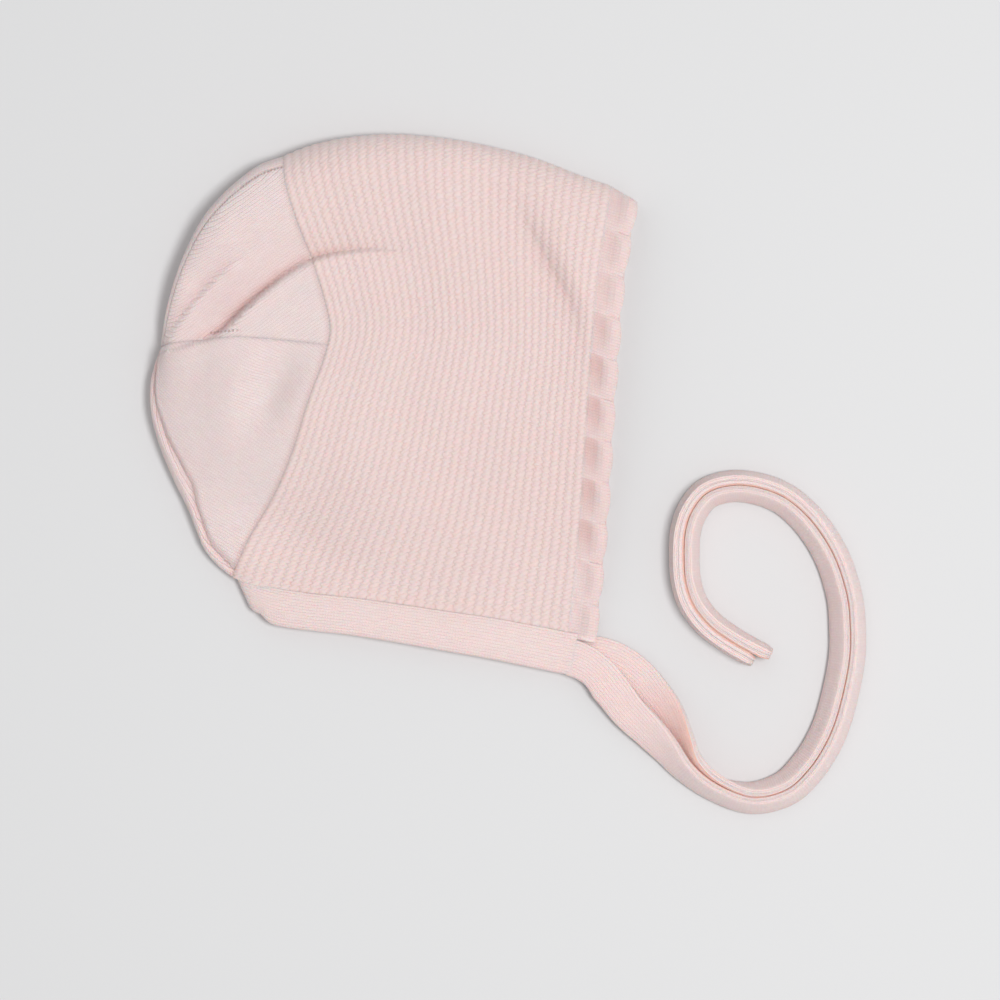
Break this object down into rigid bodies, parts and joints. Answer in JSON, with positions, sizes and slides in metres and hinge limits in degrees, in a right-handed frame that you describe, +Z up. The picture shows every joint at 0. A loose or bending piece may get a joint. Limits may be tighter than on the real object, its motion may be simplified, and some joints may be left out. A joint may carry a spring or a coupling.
{
  "type": "baby bonnet",
  "caption": "Knitted baby bonnet lying on its side, with a moss-stitch side, a wedged crown, a scalloped face edge, a folded neck band and strip ties.",
  "frame": {"origin": "on the surface it lies on, under the middle of the lower side", "axes": "+Z up, the thin way; +X from the back of the crown to the face edge; +Y from the neck to the top of the head"},
  "size_m": [0.2235, 0.2114, 0.0232],
  "materials": {
    "moss_knit": "matte moss-stitch knit",
    "plain_knit": "matte plain knit",
    "edge_knit": "matte doubled knit",
    "band_knit": "matte folded knit"
  },
  "bodies": {
    "root": {"side_panel": "moss_knit", "crown_upper_near": "plain_knit", "crown_lower_near": "plain_knit", "crown_upper_far": "plain_knit", "crown_lower_far": "plain_knit", "scallop_edge": "edge_knit", "neck_band": "band_knit", "near_tie": "band_knit", "far_tie": "band_knit"}
  },
  "joints": []
}
